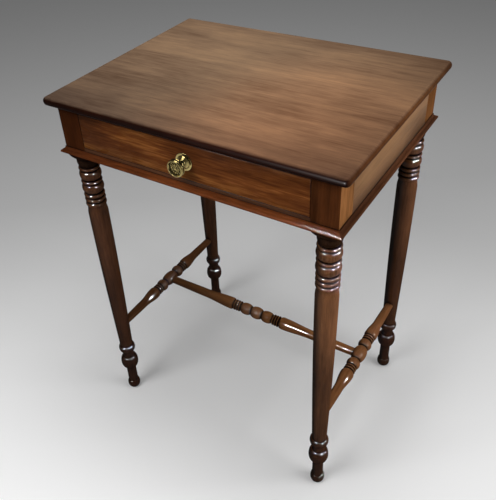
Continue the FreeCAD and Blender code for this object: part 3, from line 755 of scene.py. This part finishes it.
def turned_wood(name, grain, body, age_and_shade, **finish):
    """Polished mahogany for turned work, with wax and painted shade in its quirks and painted shade on the
    sides that face one way.
    """
    return polished(name, grain, shades(body, 0.5), (age_and_shade,), sheen=0.0, side_shade=SHADED_SIDE_DEPTH, **QUIRK_WAX_AND_SHADE, **finish)


def coat_scaled(tree, share):
    """The gloss coat of a finish, multiplied by a share."""
    socket = tree.nodes["Principled BSDF"].inputs["Coat Weight"]
    joined(tree, maths(tree, "MULTIPLY", socket.links[0].from_socket, share), socket)


def leg_toned(material):
    """The legs' wood tinted by height: painted shade low down and a painted shadow at the neck, with its own
    tone on the head and painted light on its sides.
    """
    tree = material.node_tree
    if tree.nodes.get("Leg Tone"):
        return
    shader = tree.nodes["Principled BSDF"]
    color = shader.inputs["Base Color"].links[0].from_socket
    height = height_of(tree, own_place(tree))
    sideways = maths(tree, "ABSOLUTE", dot_of(tree, normal_of(tree), X))
    # the heads' own tone on their fronts, and painted light on their side faces
    tone = blended(tree, remapped(tree, sideways, 0.7, 0.9), opaque(POST_FRONT), opaque(POST_SIDE_LIGHT))
    share = remapped(tree, height, HEAD_FOOT - 0.010, HEAD_FOOT - 0.004)
    color = tinted(tree, share, color, tone)
    # painted shade: the lower shafts and the feet darker
    low = remapped(tree, height, *SHAFT_FADE, kind="SMOOTHSTEP")
    color = tinted(tree, low, color, opaque(SHAFT_SHADE))
    color = tinted(tree, remapped(tree, height, *FOOT_FADE), color, opaque(FOOT_SHADE))
    # painted shadow under the frieze and moulding, laid on the neck in the grime colour
    neck = maths(tree, "MULTIPLY", remapped(tree, height, HEAD_FOOT - 0.032, HEAD_FOOT - 0.026),
                 remapped(tree, height, HEAD_FOOT + 0.0006, HEAD_FOOT + 0.0002))
    color = blended(tree, maths(tree, "MULTIPLY", neck, 0.85), color,
                    opaque(bpy.context.scene.table_colours.grime_and_shade))
    color.node.name = "Leg Tone"
    joined(tree, color, shader.inputs["Base Color"])
    coat_scaled(tree, remapped(tree, maths(tree, "MAXIMUM", share, neck), 0.0, 1.0, 1.0, 0.1))


def nose_only(material):
    """The moulding's gloss coat kept to its rounded nose and off the hollow above it."""
    tree = material.node_tree
    if tree.nodes.get("Nose Only"):
        return
    height = height_of(tree, own_place(tree))
    middle = MOULDING_LOW.z + (MOULDING_HIGH.z - MOULDING_LOW.z) * NOSE_SHARE
    share = remapped(tree, height, middle, middle + 0.0005, 1.0, 0.05)
    share.node.name = "Nose Only"
    coat_scaled(tree, share)


def bare(name, grain, shift=(0.0, 0.0, 0.0)):
    """Planed softwood, unpolished, with dust and painted shade in its hollows, and its grain along one axis.
    """
    material, tree, shader, place = new_material(name)
    if tree is None:
        return material
    colours = bpy.context.scene.table_colours
    wood_colour = Vector(colours.bare_wood)
    vector = along_grain(tree, place, grain, shift)
    wood = group_node(tree, wood_grain(), Vector=vector, Dark=opaque(wood_colour * 0.55),
                      Body=opaque(wood_colour), Light=opaque(wood_colour * 1.25), Contrast=0.7)
    dust_and_shade = group_node(tree, old_polish(), Vector=vector, Color=wood.outputs["Color"],
                      Grime=opaque(wood_colour * 0.2), Grime_Depth=0.6, Gloss=0.72)
    feed_all(tree, shader, Base_Color=dust_and_shade.outputs["Color"], Roughness=dust_and_shade.outputs["Roughness"],
             Normal=bumped(tree, wood.outputs["Height"], 0.4, 0.0002))
    return material


def metal(name, clean, dulled, dullness):
    """Cast or wrought metal, spotted with tarnish and dull in its hollows.

    A dullness of 1 has the roughness of the old polish, and a lower one is shinier.
    """
    material, tree, shader, place = new_material(name)
    if tree is None:
        return material
    spots = noise(tree, stretched(tree, place, (190, 190, 190)), 3.0, 0.6)
    stained = blended(tree, remapped(tree, spots, 0.48, 0.78, 0.0, 0.55), opaque(clean), opaque(dulled))
    wear = group_node(tree, old_polish(), Vector=place, Color=stained, Grime=opaque(dulled),
                      Grime_Depth=1.5, Grime_Reach=0.005, Gloss=0.1)
    feed_all(tree, shader, Base_Color=wear.outputs["Color"], Metallic=1.0,
             Roughness=maths(tree, "MULTIPLY", wear.outputs["Roughness"], dullness),
             Normal=bumped(tree, spots, 0.3, 0.0001))
    return material


def shades(body, spread=0.4):
    """A dark, a body and a light shade of one wood."""
    body = Vector(body)
    return body * (1 - spread), body, body * (1 + spread)


# ---------------------------------------------------------------- operators
SOFTBOXES = (  # name, place, size and the setting that holds the power of each soft light
    ("right_softbox", (2.0, 0.3, 1.2), 1.5, "right_light"),
    ("front_softbox", (-0.6, -1.6, 2.2), 1.1, "front_light"),
    ("overhead_softbox", (0.1, 0.1, 2.4), 1.0, "overhead_light"),
)
GLINT_HEIGHT = 0.35  # of each light that only draws highlights, across its width
SPARED = ("cast_knob", "cast_rose", "floor", "table_top")  # what the first three of them leave out
GLINTS = (  # name, place, width and pieces of each, and whether it leaves them out or lights only them
    ("left_glint", (-0.3, -1.9, 1.7), 0.5, SPARED, "EXCLUDE"),
    ("middle_glint", (2.1, -0.9, 1.4), 0.4, SPARED, "EXCLUDE"),
    ("right_glint", (2.05, 0.6, 1.2), 0.25, SPARED, "EXCLUDE"),
    ("edge_glint", (0.3, -1.9, 0.5), 0.5, ("table_top",), "INCLUDE"),  # below the top's face
)


class TABLE_OT_add_top(bpy.types.Operator):
    """Makes the top board with its rounded corners and edges"""

    bl_idname = "table.add_top"
    bl_label = "Top"

    def execute(self, context):
        sizes = context.scene.table_sizes
        extent = TOP_HIGH - TOP_LOW
        shape = bmesh.new()
        bmesh.ops.create_cube(shape, size=1.0)
        bmesh.ops.scale(shape, vec=extent, verts=shape.verts)
        moved(shape, (TOP_LOW + TOP_HIGH) / 2)
        upright = [edge for edge in shape.edges if abs(edge.verts[0].co.z - edge.verts[1].co.z) > WELD]
        softened(shape, upright, sizes.corner_radius, 10)
        rims = [edge for edge in shape.edges
                if in_plane(edge, 2, TOP_LOW.z) or in_plane(edge, 2, TOP_HIGH.z)]
        softened(shape, rims, sizes.edge_round, 10)
        colours = context.scene.table_colours
        wood = polished("Top Mahogany", "X", (colours.top_dark, colours.top_brown, colours.top_light),
                        TOP_AGE_AND_SHADE, contrast=1.2, gloss=0.36, coat=0.009, sheen=0.006,
                        edge=colours.edge_red_and_shade)
        finished(tidied(shape), "table_top", "top_board", wood)
        return {"FINISHED"}


class TABLE_OT_add_legs(bpy.types.Operator):
    """Makes the four turned legs with their square heads"""

    bl_idname = "table.add_legs"
    bl_label = "Legs"

    def execute(self, context):
        sizes = context.scene.table_sizes
        half = sizes.post / 2
        colours = context.scene.table_colours
        wood = turned_wood("Leg Mahogany", "Z", colours.leg_brown,
                           (LEG_SHADE, (0.23, -0.17, 0.5), (0.50, 0.48, 0.6)),
                           contrast=1.3, gloss=0.3, coat=0.14)
        leg_toned(wood)
        for corner in CORNERS:
            low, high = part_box("leg_" + corner)
            shape = spun(leg_outline(sizes.post / MM, high.z / MM).points, sizes.turning_steps)
            for normal in (X, -X, Y, -Y):
                sawn(shape, normal * half, normal)
            tidied(shape)
            arrises = [edge for edge in shape.edges
                       if all(abs(abs(v.co.x) - half) < NEAR and abs(abs(v.co.y) - half) < NEAR
                              for v in edge.verts)]
            softened(shape, arrises, sizes.post_arris)
            middle = (low + high) / 2
            moved(shape, (middle.x, middle.y, 0))
            finished(shape, "turned_leg_" + corner, "leg_" + corner, wood)
        return {"FINISHED"}


class TABLE_OT_add_stretchers(bpy.types.Operator):
    """Makes the turned H-stretcher between the legs"""

    bl_idname = "table.add_stretchers"
    bl_label = "Stretchers"

    def execute(self, context):
        steps = context.scene.table_sizes.turning_steps
        colours = context.scene.table_colours
        side_brown = Vector(colours.leg_brown).lerp(Vector(colours.stretcher_gold), 0.5) * 0.85
        # the stretchers darken towards the left, away from middles on the right: painted shade
        side_wood = turned_wood("Side Stretcher Mahogany", "Y", side_brown,
                                (colours.deep_polish_and_shade, (0.3, 0, 0.2), (0.6, 1.0, 1.0)), gloss=0.3, coat=0.055)
        for side in SIDES:
            node = "side_stretcher_" + side
            low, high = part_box(node)
            reach = (high.y - low.y) / 2 / MM
            shape = spun(mirrored(side_outline(reach).points), steps)
            moved(shape, (low + high) / 2, Matrix.Rotation(math.pi / 2, 4, "X"))
            finished(shape, "turned_" + node, node, side_wood)
        reach = (CROSS_HIGH.x - CROSS_LOW.x) / 2 / MM
        shape = spun(mirrored(cross_outline(reach).points), steps)
        moved(shape, (CROSS_LOW + CROSS_HIGH) / 2, Matrix.Rotation(math.pi / 2, 4, "Y"))
        cross_wood = turned_wood("Cross Stretcher Mahogany", "X", colours.stretcher_gold,
                                 (colours.deep_polish_and_shade, (0.1, 0, 0.2), (0.28, 1.0, 1.0)), gloss=0.28, coat=0.055)
        finished(shape, "turned_cross_stretcher", "cross_stretcher", cross_wood)
        return {"FINISHED"}


class TABLE_OT_add_frieze(bpy.types.Operator):
    """Makes the rails of the frieze with their edges eased where they meet the posts"""

    bl_idname = "table.add_frieze"
    bl_label = "Frieze Rails"

    def execute(self, context):
        arris = context.scene.table_sizes.board_arris
        colours = context.scene.table_colours
        front_wood = polished("Front Rail Mahogany", "X", shades(colours.frieze_brown),
                              ((TOP_OVERHANG_SHADOW, (0, 0, RAIL_LOW.z), (0.6, 1.0, 0.09)),), shift=(0.3, 0.1, 0.2))
        back_wood = polished("Back Rail Mahogany", "X", shades(colours.rail_honey, 0.3),
                             ((colours.deep_polish_and_shade, (0, 0, RAIL_HIGH.z - 0.02), (0.35, 1.0, 0.09)),),
                             shift=(0.5, 0.2, 0.3))
        side_wood = polished("Side Rail Mahogany", "Y", shades(colours.rail_honey, 0.3),
                             ((SIDE_RAIL_EDGE, (0, 0.03, RAIL_HIGH.z - 0.02), (1.0, 0.5, 0.08)),),
                             shift=(0.1, 0.4, 0.0), sheen=0.025)
        faces = (
            ("back_rail", 1, 1, back_wood),
            ("lower_front_rail", 1, 0, front_wood),
            ("upper_front_rail", 1, 0, front_wood),
            ("side_rail_left", 0, 0, side_wood),
            ("side_rail_right", 0, 1, side_wood),
        )
        for node, axis, end, wood in faces:
            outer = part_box(node)[end][axis]
            shape = copied(node)
            edges = [edge for edge in shape.edges if in_plane(edge, axis, outer)]
            softened(shape, edges, arris)
            finished(shape, "eased_" + node, node, wood)
        return {"FINISHED"}


class TABLE_OT_add_mouldings(bpy.types.Operator):
    """Makes the mitred moulding round the foot of the frieze, redder in front and at the back"""

    bl_idname = "table.add_mouldings"
    bl_label = "Mouldings"

    def execute(self, context):
        colours = context.scene.table_colours
        for node, angle in (("front", 0), ("right", 90), ("back", 180), ("left", 270)):
            across = angle % 180 == 0
            grain, tone = ("X", colours.moulding_red) if across else ("Y", colours.moulding_side)
            wood = polished("Moulding Mahogany " + grain, grain, shades(tone, 0.5),
                            ((colours.deep_polish_and_shade, (0.1, 0, MOULDING_LOW.z), (0.5, 0.6, 1.0)),), gloss=0.2,
                            grime_and_shade_depth=1.4, grime_and_shade_reach=0.009, coat=0.05, sheen=0.0)
            nose_only(wood)
            low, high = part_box("moulding_" + node)
            middle = (low + high) / 2
            extent = high - low
            run, depth = (extent.x, extent.y) if across else (extent.y, extent.x)
            shape = bmesh.new()
            section = [shape.verts.new((0, -out * depth, up * extent.z)) for out, up in moulding_section()]
            face = shape.faces.new(section)
            made = bmesh.ops.extrude_face_region(shape, geom=[face])
            pushed = [item for item in made["geom"] if isinstance(item, bmesh.types.BMVert)]
            bmesh.ops.translate(shape, vec=X * run, verts=pushed)
            moved(shape, -X * run / 2)
            tidied(shape)
            for sign in (-1, 1):
                corner = Vector((sign * run / 2, -depth, 0))
                sawn(shape, corner, Vector((sign, 1, 0)).normalized())
            tidied(shape)
            spin = Matrix.Rotation(math.radians(angle), 4, "Z")
            back_face = middle + spin @ Y * depth / 2
            moved(shape, (back_face.x, back_face.y, low.z), spin)
            finished(shape, "run_moulding_" + node, "moulding_" + node, wood)
        return {"FINISHED"}


def moulding_section():
    """Section of the moulding, as shares of its depth and height: fillet, hollow and rounded nose."""
    points = [(0.0, 0.0), (0.0, 1.0), (0.15, 1.0), (0.15, 0.93)]
    for step in range(1, 9):
        angle = math.pi / 2 * step / 8
        points.append((0.15 + 0.53 * (1 - math.cos(angle)), 0.93 - 0.42 * math.sin(angle)))
    points.append((0.72, 0.47))
    for step in range(1, 12):
        angle = math.pi * step / 12
        points.append((0.72 + 0.28 * math.sin(angle), 0.235 + 0.235 * math.cos(angle)))
    points.append((0.72, 0.0))
    return points


class TABLE_OT_add_drawer(bpy.types.Operator):
    """Makes the drawer front and finishes the drawer box behind it"""

    bl_idname = "table.add_drawer"
    bl_label = "Drawer"

    def execute(self, context):
        colours = context.scene.table_colours
        body = Vector(colours.drawer_brown)
        # the drawer front darkens towards its left, away from a middle right of its centre: partly aged
        # polish, partly painted shade
        wood = polished("Drawer Front Mahogany", "X", (body * 0.45, body, colours.drawer_gold),
                        ((colours.deep_polish_and_shade, (0.10, 0.0, 0.68), (0.34, 5.0, 0.14)),), contrast=1.5, gloss=0.28,
                        shift=(0.22, 0.0, 0.35), coat=0.0, sheen=0.01)
        low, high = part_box("drawer_front")
        shape = copied("drawer_front")
        border = [edge for edge in shape.edges
                  if in_plane(edge, 1, low.y)
                  and (in_plane(edge, 0, low.x) or in_plane(edge, 0, high.x)
                       or in_plane(edge, 2, low.z) or in_plane(edge, 2, high.z))]
        softened(shape, border, context.scene.table_sizes.board_arris * 2)
        finished(shape, "eased_drawer_front", "drawer_front", wood, "drawer")
        for node, grain in (("drawer_side_left", "Y"), ("drawer_side_right", "Y"),
                            ("drawer_back", "X"), ("drawer_bottom", "X")):
            dressed(node, bare("Drawer Softwood " + grain, grain))
        return {"FINISHED"}


class TABLE_OT_finish_housing(bpy.types.Operator):
    """Finishes the runners, kickers, guides, stops and glue blocks inside the carcass"""

    bl_idname = "table.finish_housing"
    bl_label = "Drawer Housing"

    def execute(self, context):
        for side in SIDES:
            for part in ("runner", "kicker", "guide"):
                dressed(f"drawer_{part}_{side}", bare("Housing Softwood", "Y", (0.2, 0.3, 0.1)))
            dressed(f"drawer_stop_{side}", bare("Drawer Softwood X", "X"))
        dressed("glue_blocks", bare("Drawer Softwood X", "X"))
        return {"FINISHED"}


class TABLE_OT_add_knob(bpy.types.Operator):
    """Makes the brass knob with its rose, ringed stem and rosette face"""

    bl_idname = "table.add_knob"
    bl_label = "Knob"

    def execute(self, context):
        sizes = context.scene.table_sizes
        colours = context.scene.table_colours
        brass = metal("Aged Brass", colours.brass, colours.tarnish, 0.14)
        onto_front = Matrix.Rotation(math.pi / 2, 4, "X")
        middle = (ROSE_LOW + ROSE_HIGH) / 2
        seat = Vector((middle.x, ROSE_HIGH.y, middle.z))
        thickness = ROSE_HIGH.y - ROSE_LOW.y
        rose = spun(rose_outline(thickness / MM).points, sizes.turning_steps)
        finished(moved(rose, seat, onto_front), "cast_rose", "knob_rose", brass, "drawer")
        face = ROSE_HIGH.y - KNOB_LOW.y
        knob = spun(knob_outline(thickness / MM, face / MM).points, sizes.turning_steps)
        for step in range(sizes.petals):
            spin = Matrix.Rotation(math.tau * step / sizes.petals, 4, "Z")
            petal = spin @ Matrix.Translation((PETAL_RING, 0, face - PETAL_DEPTH)) \
                @ Matrix.Diagonal((*PETAL_SIZE, 1))
            bmesh.ops.create_uvsphere(knob, u_segments=12, v_segments=8, radius=1.0, matrix=petal)
        boss = Matrix.Translation((0, 0, face - PETAL_DEPTH)) @ Matrix.Diagonal((*BOSS_SIZE, 1))
        bmesh.ops.create_uvsphere(knob, u_segments=24, v_segments=12, radius=1.0, matrix=boss)
        finished(moved(knob, seat, onto_front), "cast_knob", "knob", brass, "drawer")
        dressed("knob_nut", metal("Dull Steel", colours.steel, Vector(colours.steel) * 0.3, 2.5))
        return {"FINISHED"}


class TABLE_OT_set_stage(bpy.types.Operator):
    """Sets the floor, the lights, the sky and the camera"""

    bl_idname = "table.set_stage"
    bl_label = "Stage"

    def execute(self, context):
        scene = context.scene
        stage = scene.table_stage
        scene.view_settings.view_transform = "Standard"
        add_floor(stage, scene.table_colours)
        add_sky(scene, stage.sky)
        for name, place, size, setting in SOFTBOXES:
            add_softbox(name, place, size, getattr(stage, setting))
        for glint in GLINTS:
            add_glint(stage.glint, *glint)
        add_camera(scene, stage)
        return {"FINISHED"}


def add_floor(stage, colours):
    """A wide floor whose tone darkens towards the back of the room: a painted fall-off of light."""
    shape = bmesh.new()
    bmesh.ops.create_grid(shape, x_segments=1, y_segments=1, size=FLOOR_REACH)
    mesh = bpy.data.meshes.new("floor")
    shape.to_mesh(mesh)
    shape.free()
    floor = bpy.data.objects.new("floor", mesh)
    bpy.context.scene.collection.objects.link(floor)
    material, tree, shader, place = new_material("Floor Paper")
    ahead = Vector((-math.sin(stage.azimuth), math.cos(stage.azimuth), 0))
    across = Vector((math.cos(stage.azimuth), math.sin(stage.azimuth), 0))
    far = maths(tree, "MAXIMUM", floor_distance(tree, place, stage, ahead), 0.3)
    nearness = maths(tree, "DIVIDE", 1.0, far)
    ramp = tree.nodes.new("ShaderNodeValToRGB")
    joined(tree, remapped(tree, nearness, *FLOOR_NEARNESS), ramp.inputs[0])
    while len(ramp.color_ramp.elements) < len(colours.floor_tones):
        ramp.color_ramp.elements.new(0.5)
    for step, tone in enumerate(colours.floor_tones):
        stop = ramp.color_ramp.elements[step]
        stop.position = step / (len(colours.floor_tones) - 1)
        stop.color = grey(tone)
    aside = maths(tree, "MULTIPLY", floor_distance(tree, place, stage, across), nearness)
    evenness = maths(tree, "SUBTRACT", 1.0, maths(tree, "MULTIPLY", aside, colours.floor_side))
    evenness = maths(tree, "MAXIMUM", evenness, FLOOR_EVENNESS[0])
    evenness = maths(tree, "MINIMUM", evenness, FLOOR_EVENNESS[1])
    tone = blended(tree, 1.0, ramp.outputs[0], evenness, "MULTIPLY")
    path = tree.nodes.new("ShaderNodeLightPath")
    seen = maths(tree, "MAXIMUM", path.outputs["Is Camera Ray"], path.outputs["Is Glossy Ray"])
    seen = maths(tree, "MAXIMUM", seen, path.outputs["Is Transmission Ray"])
    dim, lit, glow = (blended(tree, 1.0, tone, grey(share), "MULTIPLY") for share in FLOOR_SHARES)
    feed_all(tree, shader, Base_Color=blended(tree, seen, dim, lit),
             Emission_Color=blended(tree, seen, grey(0.0), glow), Emission_Strength=1.0,
             Roughness=0.9, Specular_IOR_Level=0.1)
    mesh.materials.append(material)


def floor_distance(tree, place, stage, direction):
    """How far a point is from under the camera, along a level direction."""
    return maths(tree, "SUBTRACT", dot_of(tree, place, direction), Vector(stage.place).dot(direction))


def add_sky(scene, strength):
    """Even light from all round."""
    world = bpy.data.worlds.new("Studio")
    world.use_nodes = True
    sky = world.node_tree.nodes["Background"]
    sky.inputs["Color"].default_value = (1.0, 1.0, 1.0, 1.0)
    sky.inputs["Strength"].default_value = strength
    scene.world = world


def add_softbox(name, place, size, watts):
    """A square studio light aimed at the middle of the table."""
    lamp = bpy.data.lights.new(name, "AREA")
    lamp.size = size
    lamp.energy = watts
    light = bpy.data.objects.new(name, lamp)
    target = Vector((0, 0, 0.5))
    light.location = place
    light.rotation_mode = "QUATERNION"
    light.rotation_quaternion = (target - Vector(place)).to_track_quat("-Z", "Y")
    light.visible_camera = False
    bpy.context.scene.collection.objects.link(light)
    return light


def add_glint(watts, name, place, width, pieces, link_state):
    """A light seen only as a highlight, kept to or kept off the named pieces."""
    listed = bpy.data.collections.new("Pieces of " + name)
    for piece in bpy.context.scene.objects:
        if piece.name in pieces:
            listed.objects.link(piece)
    glint = add_softbox(name, place, width, watts)
    glint.data.shape = "RECTANGLE"
    glint.data.size_y = GLINT_HEIGHT
    glint.visible_diffuse = False
    glint.light_linking.receiver_collection = listed
    for member in listed.collection_objects:
        member.light_linking.link_state = link_state


def add_camera(scene, stage):
    """The camera, looking down on the table from the right of its front."""
    back = Vector((
        math.sin(stage.azimuth) * math.cos(stage.elevation),
        -math.cos(stage.azimuth) * math.cos(stage.elevation),
        math.sin(stage.elevation),
    ))
    right = Vector((math.cos(stage.azimuth), math.sin(stage.azimuth), 0))
    level = Matrix((right, back.cross(right), back)).transposed()
    lens = bpy.data.cameras.new("camera")
    lens.lens = stage.lens
    lens.shift_x = stage.shift_x
    lens.shift_y = stage.shift_y
    lens.clip_start = 0.01
    camera = bpy.data.objects.new("camera", lens)
    camera.matrix_world = Matrix.Translation(stage.place) \
        @ (level @ Matrix.Rotation(stage.roll, 3, "Z")).to_4x4()
    scene.collection.objects.link(camera)
    scene.camera = camera


class TABLE_PT_pieces(bpy.types.Panel):
    """Buttons that make each piece of the table"""

    bl_idname = "TABLE_PT_pieces"
    bl_label = "Tavern Table"
    bl_space_type = "VIEW_3D"
    bl_region_type = "UI"
    bl_category = "Tavern Table"

    def draw(self, context):
        for maker in MAKERS:
            self.layout.operator(maker.bl_idname)


MAKERS = (
    TABLE_OT_add_top,
    TABLE_OT_add_legs,
    TABLE_OT_add_stretchers,
    TABLE_OT_add_frieze,
    TABLE_OT_add_mouldings,
    TABLE_OT_add_drawer,
    TABLE_OT_finish_housing,
    TABLE_OT_add_knob,
    TABLE_OT_set_stage,
)
GROUPS = (
    ("table_sizes", TableSizes),
    ("table_colours", TableColours),
    ("table_stage", TableStage),
)


def register():
    """Adds the operators, the panel and the settings to Blender."""
    for name, group in GROUPS:
        bpy.utils.register_class(group)
        setattr(bpy.types.Scene, name, PointerProperty(type=group))
    for item in (*MAKERS, TABLE_PT_pieces):
        bpy.utils.register_class(item)


def unregister():
    """Takes them out again."""
    for item in (TABLE_PT_pieces, *reversed(MAKERS)):
        bpy.utils.unregister_class(item)
    for name, group in reversed(GROUPS):
        delattr(bpy.types.Scene, name)
        bpy.utils.unregister_class(group)


def main():
    """Makes every piece in order."""
    register()
    bpy.ops.table.add_top()
    bpy.ops.table.add_legs()
    bpy.ops.table.add_stretchers()
    bpy.ops.table.add_frieze()
    bpy.ops.table.add_mouldings()
    bpy.ops.table.add_drawer()
    bpy.ops.table.finish_housing()
    bpy.ops.table.add_knob()
    bpy.ops.table.set_stage()
    bpy.context.view_layer.update()


if __name__ == "__main__":
    main()
